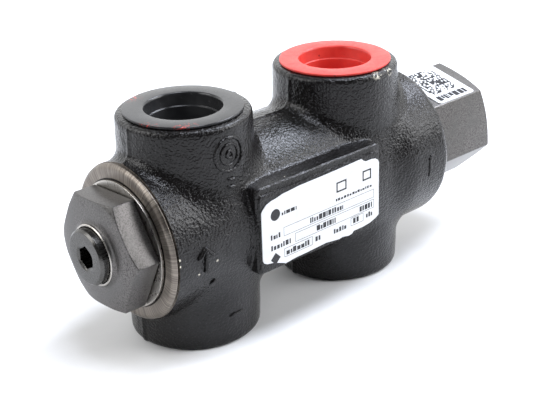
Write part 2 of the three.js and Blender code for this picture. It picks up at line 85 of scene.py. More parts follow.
# ---- dimensions ---------------------------------------------------------------------------------
PORT_X = np.mean(box_mm("port_plug_red"), axis=0)[0] - ORIGIN[0]
PORT_FACE = upward("valve_body")[1]
LEFT_FACE, RIGHT_FACE = along("valve_body")
NECK_RIM, PLUG_INNER = along("end_plug")
SPINDLE_FACE, SPINDLE_TIP = along("adjusting_spindle")
CAP_INNER, CAP_END = along("hex_cap")
LEFT_WASHER = along("end_plug_seal_ring")
RIGHT_WASHER = along("cap_seal_ring")

PORT_BORE = 12.1
PORT_MOUTH = 13.5
BOSS_RADIUS = 19.5
BOSS_DRAFT = 0.9
BOSS_ROUND = 1.6
BARREL_RADIUS = 23.4
COLLAR_RADIUS = 25.15
COLLAR_START, COLLAR_FULL = 31.0, 43.0
COLLAR_ROUND = 3.2
TURNED_RIM = 23.2
TURNED_LENGTH = 1.2
FILLET = 3.0
ALLOWANCE = 0.15          # casting left on a machined face
PAD_EDGE, PAD_FILLET = 0.35, 0.7
LAND_EDGE, LAND_FILLET = 0.25, 0.3
SEAM = {"half": 0.5, "height": 0.32, "fillet": 0.45}
SKIN = ((0.035, 1.5, 3), (0.05, 3.1, 5), (0.08, 11.0, 7))  # height, spacing and seed of each noise
PAD = {"x": (-25.2, 24.8), "z": (-12.3, 14.5), "face": 24.4, "corner": 1.5}
LAND = {"x": (-24.7, 23.7), "z": (-11.8, 12.4), "front": 25.2, "rear": 25.5, "corner": 1.6}

CHAMBER = 13.0
WEB_HALF, WEB_BORE = 9.0, 10.1
END_BORE, END_BORE_LENGTH = 15.1, 12.0
SHANK = 14.95
WASHER_RADII = (15.25, 18.8)
THREAD = {"start": 1.4, "end": 17.5, "depth": 1.1, "pitch": 1.814}

PLUG_FLATS, PLUG_CORNER = 32.0, 56.65
GAP = 0.1
PLUG_SEAT = LEFT_WASHER[0] - GAP
PLUG_FRONT = NECK_RIM + 1.1
CROWN_START, CROWN_END = 10.1, 16.6
CROWN_DROP, CHAMFER_SLOPE = 0.6, 0.464
CAP_FLATS, CAP_CORNER = 33.0, 17.0
CAP_CHAMFER = {"start": 20.0, "end": 15.2, "length": 2.4}
CAP_SEAT = RIGHT_WASHER[1] + GAP

HEAD = 8.25
HEAD_BORE = 8.35
THREAD_RADIUS = 6.05
SOCKET_FLATS, SOCKET_CORNER, SOCKET_DEPTH = 6.0, 90, 5.2

COLUMNS = 96              # sides of a turned piece
HALF_DEPTH = 28.0         # reaches past the casting in front and behind
STEP, QUICK_STEP = 0.62, 1.1  # spacing at which the casting is sampled
TINY = 1e-6

# Camera: its angles in degrees, its place in the bore frame and its focal length.
AZIMUTH, ELEVATION, ROLL = -40.988, 24.642, -1.936
EYE = (-223.77, -257.67, 152.20)
FOCAL_LENGTH = 81.66
# Room: each is the start and end of a slope along a direction, then the brightness at both.
BEHIND = (0.656, 0.755, 0)
BEHIND_GRADE = (-0.6, 0.4, 0.08, 1.8)
HIGH_GRADE = (0.45, 0.75, 1.0, 0.2)
LIGHT_TARGET, LIGHT_DISTANCE = (0, 0, 0.03), 0.9
FLOOR_HALF = 5.0


# ---- node materials -----------------------------------------------------------------------------
class Graph:
    """Short calls for making the nodes of a tree."""

    def __init__(self, tree, coordinates):
        self.tree = tree
        self.place = tree.nodes.new("ShaderNodeTexCoord").outputs[coordinates]

    def feed(self, socket, value):
        if isinstance(value, bpy.types.NodeSocket):
            self.tree.links.new(value, socket)
        elif hasattr(socket.default_value, "__len__") and len(socket.default_value) == 4:
            socket.default_value = (*value, 1.0)
        else:
            socket.default_value = value

    def node(self, kind, inputs, **settings):
        made = self.tree.nodes.new(kind)
        for setting, value in settings.items():
            setattr(made, setting, value)
        for socket, value in inputs.items():
            self.feed(made.inputs[socket], value)
        return made

    def spread(self, value, low, high, to_low=0.0, to_high=1.0, **settings):
        inputs = {"Value": value, "From Min": low, "From Max": high, "To Min": to_low, "To Max": to_high}
        return self.node("ShaderNodeMapRange", inputs, **settings).outputs["Result"]

    def math(self, operation, first, second=0.0):
        return self.node("ShaderNodeMath", {0: first, 1: second}, operation=operation).outputs[0]


class Finish(Graph):
    """A material, with short calls for the nodes that feed its shader."""

    def __init__(self, name, **sockets):
        self.material = bpy.data.materials.new(name)
        self.material.use_nodes = True
        super().__init__(self.material.node_tree, "Object")
        self.shader = self.tree.nodes["Principled BSDF"]
        for socket, value in sockets.items():
            self.feed(self.shader.inputs[socket.replace("_", " ").title().replace("Ior", "IOR")], value)

    def noise(self, size, detail=2.0, roughness=0.5, place=None):
        """Noise with lumps of about that size in millimetres."""
        inputs = {"Vector": place or self.place, "Scale": 1 / (size * MM), "Detail": detail,
                  "Roughness": roughness}
        return self.node("ShaderNodeTexNoise", inputs).outputs["Fac"]

    def grains(self, size):
        """Distance from the nearest of many points, about that many millimetres apart."""
        inputs = {"Vector": self.place, "Scale": 1 / (size * MM)}
        return self.node("ShaderNodeTexVoronoi", inputs).outputs["Distance"]

    def blend(self, factor, first, second):
        made = self.tree.nodes.new("ShaderNodeMix")
        made.data_type = "RGBA"
        self.feed(made.inputs[0], factor)
        self.feed(made.inputs[6], first)
        self.feed(made.inputs[7], second)
        return made.outputs[2]

    def stretched(self, x=1.0, y=1.0, z=1.0):
        inputs = {"Vector": self.place, "Scale": (x, y, z)}
        return self.node("ShaderNodeMapping", inputs).outputs["Vector"]

    def near(self, centre, radius, fade):
        """1 within a distance of a point in the bore frame, falling to 0 over the fade."""
        middle = tuple((np.array(centre) + ORIGIN) * MM)
        away = self.node("ShaderNodeVectorMath", {0: self.place, 1: middle}, operation="DISTANCE")
        return self.spread(away.outputs["Value"], radius * MM, (radius + fade) * MM, 1.0, 0.0)

    def off_bore(self):
        """The part of the offset from the bore axis that is square to it."""
        middle = tuple(ORIGIN * MM)
        offset = self.node("ShaderNodeVectorMath", {0: self.place, 1: middle}, operation="SUBTRACT")
        inputs = {0: offset.outputs[0], 1: (0, 1, 1)}
        return self.node("ShaderNodeVectorMath", inputs, operation="MULTIPLY").outputs[0]

    def from_bore(self):
        """Distance in metres from the bore axis."""
        return self.node("ShaderNodeVectorMath", {0: self.off_bore()}, operation="LENGTH").outputs["Value"]

    def around_bore(self, count):
        """A place that only changes with the angle about the bore axis, for radial streaks."""
        unit = self.node("ShaderNodeVectorMath", {0: self.off_bore()}, operation="NORMALIZE")
        scaled = self.node("ShaderNodeVectorMath", {0: unit.outputs[0]}, operation="SCALE")
        scaled.inputs["Scale"].default_value = count * MM
        return scaled.outputs[0]

    def lathe_rings(self, pitch):
        """Waves of that pitch in millimetres, ringed round the bore axis."""
        return self.math("SINE", self.math("MULTIPLY", self.from_bore(), TURN / (pitch * MM)))

    def bump(self, height, depth, strength=1.0):
        """Bumps of about that depth in millimetres."""
        inputs = {"Height": height, "Distance": depth * MM, "Strength": strength}
        before = self.shader.inputs["Normal"].links
        if before:
            inputs["Normal"] = before[0].from_socket
        self.feed(self.shader.inputs["Normal"], self.node("ShaderNodeBump", inputs).outputs["Normal"])

    def colour(self, factor, first, second):
        self.feed(self.shader.inputs["Base Color"], self.blend(factor, first, second))

    def rough(self, value, smooth, dull):
        """Roughness from smooth to dull as a noise goes from low to high."""
        self.feed(self.shader.inputs["Roughness"], self.spread(value, 0.3, 0.7, smooth, dull))


def spots(finish, places, radius, fade, size, threshold):
    """Irregular patches round given points, where a noise passes a threshold."""
    ragged = finish.spread(finish.noise(size, 2.0, 0.6), threshold, threshold + 0.05)
    near = [finish.near(place, radius, fade) for place in places]
    total = near[0]
    for other in near[1:]:
        total = finish.math("MAXIMUM", total, other)
    return finish.math("MULTIPLY", ragged, total)


def on_barrel(x, z):
    """The point of the front of the barrel at a station and height."""
    return (x, -math.sqrt(BARREL_RADIUS ** 2 - z ** 2), z)


def cast_paint():
    finish = Finish("cast_iron_black_paint", specular_ior_level=0.29)
    grain = finish.noise(0.5, 2.0, 0.6)
    lumps = finish.noise(0.75, 1.0, 0.4)
    wrinkles = finish.spread(lumps, 0.42, 0.58)
    patches = finish.noise(9.0, 3.0)
    black = finish.blend(finish.spread(patches, 0.35, 0.7), (0.004, 0.0035, 0.0035), (0.009, 0.008, 0.008))
    # Pale flecks on the high points of the fine grain: some dust, and a painted sparkle of light on the
    # grain.
    dust_and_sparkle = finish.blend(finish.spread(grain, 0.62, 0.8), black, (0.05, 0.05, 0.053))
    chips = spots(finish, [(PORT_X - 1.0, -19.2, 34.0), (PORT_X + 5, -18.7, 33.8)], 0.6, 1.7, 0.9, 0.52)
    pips = [on_barrel(-51.9, 2.2), on_barrel(-52.0, 0.3), on_barrel(-45.4, -4.6), on_barrel(-39.0, -2.5)]
    pale = finish.math("MAXIMUM", chips, spots(finish, pips, 0.18, 0.3, 0.3, 0.35))
    rare = finish.spread(finish.grains(16.0), 0.014, 0.011)
    pale = finish.math("MAXIMUM", pale, finish.math("MULTIPLY", rare, 0.6))
    finish.colour(pale, dust_and_sparkle, (0.62, 0.58, 0.48))
    finish.rough(patches, 0.12, 0.2)
    finish.bump(wrinkles, 0.045)
    finish.bump(lumps, 0.12)
    finish.bump(grain, 0.08)
    return finish.material


def machined_iron():
    finish = Finish("machined_iron", metallic=1.0)
    rings = finish.lathe_rings(0.28)
    streaks = finish.noise(0.5, 3.0, 0.6, finish.around_bore(26))
    stain = finish.noise(7.0, 3.0)
    hatch = finish.spread(streaks, 0.36, 0.64)
    tone = finish.blend(hatch, (0.09, 0.077, 0.066), (0.3, 0.268, 0.235))
    worn = finish.blend(finish.spread(stain, 0.45, 0.75), tone, (0.12, 0.104, 0.09))
    radius, rim = finish.from_bore(), WASHER_RADII[1]
    # A dark band on the face just outside the washer's rim: painted shade of the gap beside the washer.
    within = finish.spread(radius, (rim + 0.5) * MM, (rim + 0.3) * MM)
    washer_gap_shade = finish.math("MULTIPLY", finish.spread(radius, (rim - 0.1) * MM, rim * MM), within)
    finish.colour(washer_gap_shade, worn, (0.012, 0.01, 0.009))
    finish.rough(streaks, 0.3, 0.46)
    finish.bump(rings, 0.012, 0.6)
    finish.bump(streaks, 0.02, 0.5)
    return finish.material


def phosphated_steel():
    finish = Finish("phosphated_steel", metallic=0.9)
    speckle = finish.noise(0.42, 2.0, 0.6)
    cloud = finish.noise(8.0, 3.0)
    tone = finish.blend(finish.spread(speckle, 0.36, 0.6), (0.058, 0.054, 0.052), (0.148, 0.14, 0.136))
    finish.colour(finish.spread(cloud, 0.4, 0.75), tone, (0.1, 0.098, 0.094))
    finish.rough(speckle, 0.3, 0.42)
    finish.bump(speckle, 0.012, 0.5)
    return finish.material


def plain(name, noise, colours, roughness, bump=(), stretch=(), rings=(), **sockets):
    """A finish whose tone, roughness and bumps follow one noise. A lathe's rings come under it."""
    finish = Finish(name, **sockets)
    cloud = finish.noise(*noise, finish.stretched(*stretch) if stretch else None)
    finish.colour(cloud, *colours)
    finish.rough(cloud, *roughness)
    if rings:
        pitch, depth = rings
        finish.bump(finish.lathe_rings(pitch), depth, 0.5)
    if bump:
        finish.bump(cloud, *bump)
    return finish.material


def black_plastic():
    finish = Finish("black_moulded_plastic", specular_ior_level=0.4)
    scuffs = finish.noise(1.5, 4.0, 0.6)
    swirl = finish.noise(6.0, 2.0, 0.5)
    rubbed = [(-47.0, -5.2, 34.6), (-39.9, -13.9, 34.5), (-36.7, 16.0, 34.7)]
    red = finish.math("MULTIPLY", spots(finish, rubbed, 1.0, 3.0, 1.0, 0.55), 0.75)
    black = finish.blend(finish.spread(swirl, 0.3, 0.7), (0.012, 0.012, 0.013), (0.026, 0.026, 0.027))
    finish.colour(red, black, (0.5, 0.03, 0.02))
    finish.rough(scuffs, 0.14, 0.28)
    finish.bump(scuffs, 0.02)
    return finish.material


def red_plastic():
    finish = Finish("red_moulded_plastic", subsurface_weight=0.12, subsurface_scale=0.002)
    finish.shader.inputs["Subsurface Radius"].default_value = (1.0, 0.25, 0.2)
    scuffs = finish.noise(1.2, 4.0, 0.6)
    swirl = finish.noise(5.0, 2.0)
    dirt = finish.spread(finish.grains(4.2), 0.1, 0.08)
    red = finish.blend(finish.spread(swirl, 0.3, 0.7), (0.52, 0.028, 0.022), (0.64, 0.05, 0.036))
    finish.colour(finish.math("MULTIPLY", dirt, 0.7), red, (0.12, 0.01, 0.01))
    finish.rough(scuffs, 0.32, 0.46)
    finish.bump(scuffs, 0.01, 0.4)
    return finish.material


def label_film():
    finish = Finish("label_film")
    grime = finish.noise(5.0, 4.0, 0.6)
    finish.colour(finish.spread(grime, 0.45, 0.8), (0.7, 0.715, 0.73), (0.6, 0.605, 0.605))
    finish.rough(grime, 0.36, 0.5)
    finish.bump(finish.noise(2.5, 2.0), 0.01, 0.4)
    return finish.material


FINISHES = {
    "paint": cast_paint(),
    "machined": machined_iron(),
    "phosphated": phosphated_steel(),
    "turned": plain(
        "turned_dark_steel", (0.5, 3.0, 0.6), ((0.05, 0.049, 0.047), (0.12, 0.117, 0.112)), (0.2, 0.34),
        (0.008, 0.4), (0.12, 1, 1), (0.22, 0.006), metallic=1.0),
    "washer": plain(
        "soft_washer_steel", (1.6, 3.0, 0.6), ((0.32, 0.3, 0.275), (0.52, 0.5, 0.465)), (0.24, 0.38),
        rings=(0.35, 0.01), metallic=1.0),
    "ground": plain(
        "ground_steel", (0.35, 2.0, 0.5), ((0.42, 0.42, 0.42), (0.6, 0.6, 0.6)), (0.16, 0.3),
        (0.005, 0.5), (6, 0.6, 0.6), metallic=1.0),
    "spring": plain(
        "oiled_spring_steel", (1.1, 3.0, 0.6), ((0.09, 0.09, 0.1), (0.2, 0.2, 0.215)), (0.24, 0.4),
        (0.01, 0.5), metallic=1.0),
    "bronze": plain(
        "turned_bronze", (1.8, 3.0, 0.6), ((0.33, 0.2, 0.07), (0.6, 0.4, 0.16)), (0.24, 0.4), metallic=1.0),
    "rubber": plain(
        "nitrile_rubber", (0.9, 3.0, 0.6), ((0.008, 0.008, 0.008), (0.02, 0.02, 0.02)), (0.4, 0.6)),
    "ptfe": plain("white_ptfe", (1.4, 2.0, 0.5), ((0.72, 0.7, 0.64), (0.86, 0.85, 0.8)), (0.4, 0.55)),
    "black": black_plastic(),
    "red": red_plastic(),
    "film": label_film(),
    "ink": plain(
        "label_ink", (0.6, 3.0, 0.6), ((0.02, 0.02, 0.022), (0.08, 0.08, 0.085)), (0.75, 0.9),
        specular_ior_level=0.1),
    "floor": plain("pale_floor", (4.0, 3.0, 0.5), ((0.84, 0.84, 0.84), (0.88, 0.88, 0.88)), (0.6, 0.7)),
}


# ---- mesh helpers -------------------------------------------------------------------------------
def show(name, data):
    """A new object in the scene with that mesh, light or camera."""
    made = bpy.data.objects.new(name, data)
    bpy.context.scene.collection.objects.link(made)
    return made


def new_object(name, points, faces, finishes):
    """An object from points in the bore frame and faces, with doubled points merged."""
    mesh = bpy.data.meshes.new(name)
    mesh.from_pydata(((np.asarray(points, float) + ORIGIN) * MM).tolist(), [], faces)
    editing = bmesh.new()
    editing.from_mesh(mesh)
    bmesh.ops.remove_doubles(editing, verts=editing.verts, dist=TINY)
    bmesh.ops.dissolve_degenerate(editing, edges=editing.edges, dist=TINY)
    bmesh.ops.recalc_face_normals(editing, faces=editing.faces)
    editing.to_mesh(mesh)
    editing.free()
    for finish in finishes:
        mesh.materials.append(FINISHES[finish])
    return show(name, mesh)


def piece(made, body, nodes=(), sharp_degrees=28):
    """Hands a finished object to the frame."""
    made.data.shade_smooth()
    made.data.set_sharp_from_angle(angle=math.radians(sharp_degrees))
    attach(made, body)
    if nodes:
        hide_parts(*nodes)
    return made


def eased(outline):
    """A closed outline of (along, radius, size) corners, each rounded off over that size."""
    points = []
    corners = np.array([corner[:2] for corner in outline], float)
    for index, corner in enumerate(corners):
        near, far = corner, corner
        before, after = corners[index - 1] - corner, corners[(index + 1) % len(corners)] - corner
        size, gap_before, gap_after = outline[index][2], np.linalg.norm(before), np.linalg.norm(after)
        if gap_before > TINY:
            near = corner + before / gap_before * min(size, 0.45 * gap_before)
        if gap_after > TINY:
            far = corner + after / gap_after * min(size, 0.45 * gap_after)
        for share in (0, 1 / 3, 2 / 3, 1):
            points.append((1 - share) ** 2 * near + 2 * share * (1 - share) * corner + share ** 2 * far)
    return points


def wrap(rows, angles, axis, x=0.0):
    """Points and quads of outlines set round an axis, one at each angle, closed both ways."""
    points = []
    for row, angle in zip(rows, angles):
        for station, radius in row:
            across, up = radius * math.cos(angle), radius * math.sin(angle)
            points.append((station, across, up) if axis == "x" else (x + across, up, station))
    columns, count = len(rows), len(rows[0])
    faces = []
    for column in range(columns):
        here, there = column * count, (column + 1) % columns * count
        for row in range(count):
            after = (row + 1) % count
            faces.append((here + row, here + after, there + after, there + row))
    return points, faces


def tube_faces(count, across):
    """Quads between rings of points that follow one another, and a cap at each end."""
    faces = [(row * across + a, row * across + (a + 1) % across, (row + 1) * across + (a + 1) % across,
              (row + 1) * across + a) for row in range(count - 1) for a in range(across)]
    return faces + [tuple(range(across)), tuple(range(count * across - across, count * across))]


def even_angles(columns=COLUMNS):
    return [TURN * column / columns for column in range(columns)]


def turned(name, outline, finishes, axis="x", x=0.0, columns=COLUMNS, size=0.12):
    """A turned piece from (along, radius) or (along, radius, size) corners. Corners on the axis stay."""
    corners = [(*corner, 0 if corner[1] == 0 else size) if len(corner) == 2 else corner for corner in outline]
    angles = even_angles(columns)
    row = eased(corners)
    return new_object(name, *wrap([row] * columns, angles, axis, x), finishes)


def hexagon_angles(corner_degrees, fine=(0.5, 1.2, 2.2, 4.0), coarse=5):
    """Angles round a hexagon, closer together at its corners."""
    steps = [*fine, *np.linspace(fine[-1], 30, coarse + 1)[1:]]
    offsets = sorted({-step for step in steps[:-1]} | {0.0} | set(steps))
    return [math.radians(corner_degrees + 60 * side + offset) for side in range(6) for offset in offsets]


def hexagon_radius(angle, flats, corner_degrees, rounding):
    """Distance from the axis to a hexagon with rounded corners, at an angle."""
    offset = abs((math.degrees(angle) - corner_degrees + 30) % 60 - 30)
    apothem = flats / 2
    centre = (apothem - rounding) / math.cos(math.radians(30))
    foot = math.degrees(math.atan((apothem - rounding) * math.tan(math.radians(30)) / apothem))
    if offset > 30 - foot:
        return apothem / math.cos(math.radians(30 - offset))
    lean = math.radians(offset)
    return centre * math.cos(lean) + math.sqrt(rounding ** 2 - (centre * math.sin(lean)) ** 2)


def hexagonal(name, outline, corner_degrees, finishes):
    """A piece along the bore whose outline changes with the angle round a hexagon."""
    angles = hexagon_angles(corner_degrees)
    rows = [eased(outline(angle)) for angle in angles]
    return new_object(name, *wrap(rows, angles, "x"), finishes)


def rods(name, strokes, finish, depth_from, depth_to, place):
    """Thin plates: each stroke is a closed outline of (u, v) points, thickened and then placed."""
    points, faces = [], []
    for stroke in strokes:
        first, count = len(points), len(stroke)
        points += [place(u, v, depth_from) for u, v in stroke]
        points += [place(u, v, depth_to) for u, v in stroke]
        faces.append(tuple(range(first, first + count)))
        faces.append(tuple(range(first + 2 * count - 1, first + count - 1, -1)))
        for index in range(count):
            after = (index + 1) % count
            faces.append((first + index, first + after, first + count + after, first + count + index))
    return new_object(name, points, faces, [finish])


def cut(made, tools):
    """Takes the tools' solids away from an object, as machining does, and keeps their finish there."""
    for tool in tools:
        step = made.modifiers.new("cut", "BOOLEAN")
        step.operation = "DIFFERENCE"
        step.solver = "MANIFOLD"
        step.object = tool
    result = bpy.data.meshes.new_from_object(made.evaluated_get(bpy.context.evaluated_depsgraph_get()))
    made.modifiers.clear()
    rough = made.data
    result.name = rough.name
    made.data = result
    bpy.data.meshes.remove(rough)
    for tool in tools:
        bpy.data.objects.remove(tool)


# ---- the casting --------------------------------------------------------------------------------
def round_union(first, second, radius):
    """Joins two distance fields with a fillet."""
    corner = np.hypot(np.maximum(radius - first, 0), np.maximum(radius - second, 0))
    return np.maximum(radius, np.minimum(first, second)) - corner


def round_meet(first, second, radius):
    """What two distance fields share, with a rounded edge."""
    return -round_union(-first, -second, radius)


def slab(value, low, high):
    return np.abs(value - (low + high) / 2) - (high - low) / 2


def plate_field(x, z, size, corner):
    across = slab(x, *size["x"]) + corner
    up = slab(z, *size["z"]) + corner
    outside = np.hypot(np.maximum(across, 0), np.maximum(up, 0))
    return outside + np.minimum(np.maximum(across, up), 0) - corner


def casting_field(x, y, z):
    """Distance from the rough casting, before machining."""
    swell = np.clip((x - COLLAR_START) / (COLLAR_FULL - COLLAR_START), 0, 1)
    swell = swell * swell * (3 - 2 * swell)
    barrel = np.hypot(y, z) - (BARREL_RADIUS + (COLLAR_RADIUS - BARREL_RADIUS) * swell)
    shape = round_meet(barrel, x - (RIGHT_FACE + ALLOWANCE), COLLAR_ROUND)
    shape = np.maximum(shape, LEFT_FACE - 0.8 - x)
    for side in (-1, 1):
        taper = BOSS_DRAFT * (1 - np.abs(z) / PORT_FACE)
        shaft = np.hypot(x - side * PORT_X, y) - BOSS_RADIUS - taper
        boss = round_meet(shaft, np.abs(z) - (PORT_FACE + ALLOWANCE), BOSS_ROUND)
        shape = round_union(shape, boss, FILLET)
    pad = round_meet(plate_field(x, z, PAD, PAD["corner"]), np.abs(y) - PAD["face"], PAD_EDGE)
    shape = round_union(shape, pad, PAD_FILLET)
    depth = slab(y, -LAND["front"], LAND["rear"])
    land = round_meet(plate_field(x, z, LAND, LAND["corner"]), depth, LAND_EDGE)
    shape = round_union(shape, land, LAND_FILLET)
    ridge = np.maximum(np.abs(y) - SEAM["half"], shape - SEAM["height"])
    return round_union(shape, ridge, SEAM["fillet"])


CORNERS = [(a, b, c) for a in (0, 1) for b in (0, 1) for c in (0, 1)]
EDGES = [(p, q) for p in CORNERS for q in CORNERS if p < q and sum(abs(a - b) for a, b in zip(p, q)) == 1]


def surface_net(field, low, step):
    """Points and quads of the zero surface of a sampled field, one point in each cell it crosses."""
    inside = field < 0
    cells = tuple(size - 1 for size in field.shape)
    nx, ny, nz = cells
    filled = sum(inside[a:a + nx, b:b + ny, c:c + nz].astype(np.int8) for a, b, c in CORNERS)
    active = np.argwhere((filled > 0) & (filled < 8))
    number = np.full(cells, -1)
    number[tuple(active.T)] = np.arange(len(active))
    total, hits = np.zeros((len(active), 3)), np.zeros((len(active), 1))
    for start, end in EDGES:
        first = field[tuple((active + start).T)]
        second = field[tuple((active + end).T)]
        crossed = ((first < 0) != (second < 0))[:, None]
        share = (first / np.where(first == second, 1, first - second))[:, None]
        total += np.where(crossed, start + share * (np.array(end) - start), 0)
        hits += crossed
    points = low + step * (active + total / hits)
    quads = []
    for axis in range(3):
        behind = [slice(None)] * 3
        ahead = [slice(None)] * 3
        behind[axis], ahead[axis] = slice(None, -1), slice(1, None)
        leaving = inside[tuple(behind)] & ~inside[tuple(ahead)]
        entering = ~inside[tuple(behind)] & inside[tuple(ahead)]
        sides = np.eye(3, dtype=int)[[(axis + 1) % 3, (axis + 2) % 3]]
        for crossing, forward in ((leaving, True), (entering, False)):
            at = np.argwhere(crossing)
            ring = [at, at - sides[0], at - sides[0] - sides[1], at - sides[1]]
            quad = np.stack([number[tuple(cell.T)] for cell in ring], axis=1)
            quads.append(quad if forward else quad[:, ::-1])
    return points, np.concatenate(quads)


def settle(points, reach=0.02):
    """Moves points that are close to the casting's surface onto it, along its slope."""
    for _ in range(2):
        value = casting_field(*points.T)
        ahead = [casting_field(*(points + shift).T) for shift in np.eye(3) * reach]
        slope = (np.stack(ahead, axis=1) - value[:, None]) / reach
        steepness = np.maximum(np.sum(slope ** 2, axis=1), 0.3)
        points = points - slope * np.clip(value / steepness, -0.3, 0.3)[:, None]
    return points


def value_noise(points, size, seed):
    """Smooth random values from -1 to 1 at points, from a seeded lattice with that spacing."""
    span = 64
    lattice = np.random.default_rng(seed).uniform(-1, 1, (span, span, span))
    scaled = points / size
    base = np.floor(scaled).astype(int)
    share = scaled - base
    share = share * share * (3 - 2 * share)
    total = np.zeros(len(points))
    for corner in CORNERS:
        weight = np.prod(np.where(corner, share, 1 - share), axis=1)
        total += weight * lattice[tuple(((base + corner) % span).T)]
    return total


def thread_rows(start, end, columns):
    """Outline stretches of a helical thread between two stations, one for each angle and one more."""
    shape = ((0.06, 0.0), (0.4, 1.0), (0.6, 1.0), (0.94, 0.0))
    sign, pitch = 1 if end > start else -1, THREAD["pitch"]
    turns = math.ceil(abs(end - start) / pitch) + 1
    rows = []
    for column in range(columns + 1):
        row = []
        for turn in range(turns):
            for share, height in shape:
                run = pitch * (turn + share + column / columns - 1)
                run = min(max(run, 0), abs(end - start))
                fade = min(1, 2.5 * run / pitch, 2.5 * (abs(end - start) - run) / pitch)
                row.append((start + sign * run, PORT_BORE + THREAD["depth"] * height * max(fade, 0)))
        rows.append(row)
    return rows


def port_tool(side, up):
    """The machining of one port: spot face, countersink, G 3/4 thread and tapping bore."""
    columns = 72
    face, past, deep = up * PORT_FACE, up * (PORT_FACE + 3), up * 4
    thread_start, thread_end = up * (PORT_FACE - THREAD["start"]), up * THREAD["end"]
    rows = thread_rows(thread_start, thread_end, columns)
    head = [(past, 0), (past, 24), (face, 24), (face, PORT_MOUTH), (thread_start, PORT_BORE)]
    tail = [(thread_end, PORT_BORE), (deep, PORT_BORE), (deep, 0)]
    rows = [head + row + tail for row in rows]
    angles = [TURN * column / columns for column in range(columns + 1)]
    points, faces = wrap(rows, angles, "z", side * PORT_X)
    seam = len(rows[0])
    return new_object("port_tool", points, faces[:-seam], ["machined"])


def bore_tool():
    mouth = END_BORE + 0.8
    left, right = LEFT_FACE, RIGHT_FACE
    outline = [
        (left - 3, 0), (left - 3, mouth), (left, mouth), (left + 0.8, END_BORE),
        (left + END_BORE_LENGTH, END_BORE), (left + END_BORE_LENGTH, CHAMBER), (-WEB_HALF, CHAMBER),
        (-WEB_HALF, WEB_BORE), (WEB_HALF, WEB_BORE), (WEB_HALF, CHAMBER),
        (right - END_BORE_LENGTH, CHAMBER), (right - END_BORE_LENGTH, END_BORE), (right - 0.8, END_BORE),
        (right, mouth), (right + 3, mouth), (right + 3, 0),
    ]
    return turned("bore_tool", outline, ["machined"], size=0.02)


def left_end_tool():
    """Turns the left end: its face, the rounded bright rim and the narrow groove behind it."""
    groove = LEFT_FACE + TURNED_LENGTH
    outline = [
        (LEFT_FACE - 4, 0), (LEFT_FACE - 4, 34), (groove + 0.55, 34), (groove + 0.55, TURNED_RIM + 0.1),
        (groove + 0.3, TURNED_RIM - 0.7, 0.1), (groove, TURNED_RIM - 0.7, 0.1), (groove, TURNED_RIM, 0.1),
        (LEFT_FACE + 0.95, TURNED_RIM, 0.1), (LEFT_FACE, TURNED_RIM - 0.95, 0.8), (LEFT_FACE, 0),
    ]
    return turned("left_end_tool", outline, ["machined"], columns=128, size=0.02)


def right_end_tool():
    outline = [(RIGHT_FACE, 0), (RIGHT_FACE, 34), (RIGHT_FACE + 4, 34), (RIGHT_FACE + 4, 0)]
    return turned("right_end_tool", outline, ["machined"], size=0.02)


def front_surface(x, z):
    """The y at which lines along +Y from the front first meet the casting, by halving."""
    near, far = np.full(len(x), -HALF_DEPTH), np.full(len(x), -8.0)
    for _ in range(22):
        middle = (near + far) / 2
        outside = casting_field(x, middle, z) > 0
        near, far = np.where(outside, middle, near), np.where(outside, far, middle)
    return far


def ring_path(x, z, radius, steps):
    turns = np.radians(np.linspace(0, 360, steps))
    return np.stack([x + radius * np.cos(turns), z + radius * np.sin(turns)], axis=1)


def line_path(*corners):
    """Closely spaced points along straight lines between corners."""
    points = [np.array(corners[:1])]
    for start, end in zip(corners, corners[1:]):
        steps = max(2, round(math.dist(start, end) / 0.3))
        shares = np.linspace(0, 1, steps + 1)[1:, None]
        points.append(np.array(start) + shares * (np.array(end) - np.array(start)))
    return np.concatenate(points)


def bead(path, width, height):
    """A half-round weld-like ridge over the casting's front along a path of (x, z) points."""
    ahead = np.gradient(path, axis=0)
    side = np.stack([-ahead[:, 1], ahead[:, 0]], axis=1)
    side /= np.linalg.norm(side, axis=1)[:, None]
    ends = np.minimum(np.arange(len(path)), np.arange(len(path))[::-1])
    closed = np.linalg.norm(path[0] - path[-1]) < 0.2
    taper = np.ones(len(path)) if closed else np.sqrt(np.clip(ends / 2, 0.05, 1))
    columns = []
    for turn in np.radians(np.linspace(0, 180, 9)):
        x, z = (path + side * (width / 2 * math.cos(turn) * taper)[:, None]).T
        columns.append(np.stack([x, front_surface(x, z) - height * math.sin(turn) * taper, z], axis=1))
    x, z = path.T
    columns.append(np.stack([x, front_surface(x, z) + 0.6, z], axis=1))
    points = np.stack(columns, axis=1)
    return points.reshape(-1, 3), tube_faces(*points.shape[:2])


def cast_marks():
    """Generic raised foundry marks on the front: three rings, an arrow, an angle and a few bars."""
    rings = [(4.8, 80, 1.0, 0.5), (3.0, 60, 0.8, 0.45), (1.0, 30, 0.9, 0.5)]
    lines = [
        (1.1, 0.8, (-31.6, 18.6), (-28.6, 18.2)), (1.1, 0.8, (-31.8, 16.4), (-28.4, 16.0)),
        (1.2, 1.1, (-43.0, -5.0), (-43.0, 2.6)), (1.2, 1.1, (-45.8, 0.0), (-43.0, 2.8), (-40.2, 0.0)),
        (1.0, 0.6, (-40.4, -10.4), (-38.6, -9.2)), (1.0, 0.5, (-32.8, -24.4), (-27.4, -24.1)),
        (0.9, 0.36, (47.4, -4.0), (47.4, 3.2)), (0.9, 0.36, (47.4, 3.2), (49.6, 3.4)),
    ]
    paths = [(ring_path(-PORT_X, 25.7, radius, steps), *size) for radius, steps, *size in rings]
    paths += [(line_path(*corners), width, height) for width, height, *corners in lines]
    points, faces = [], []
    for path, width, height in paths:
        more, quads = bead(path, width, height)
        faces += [tuple(index + len(points) for index in quad) for quad in quads]
        points += more.tolist()
    piece(new_object("casting_marks", points, faces, ["paint"]), "root", (), 70)


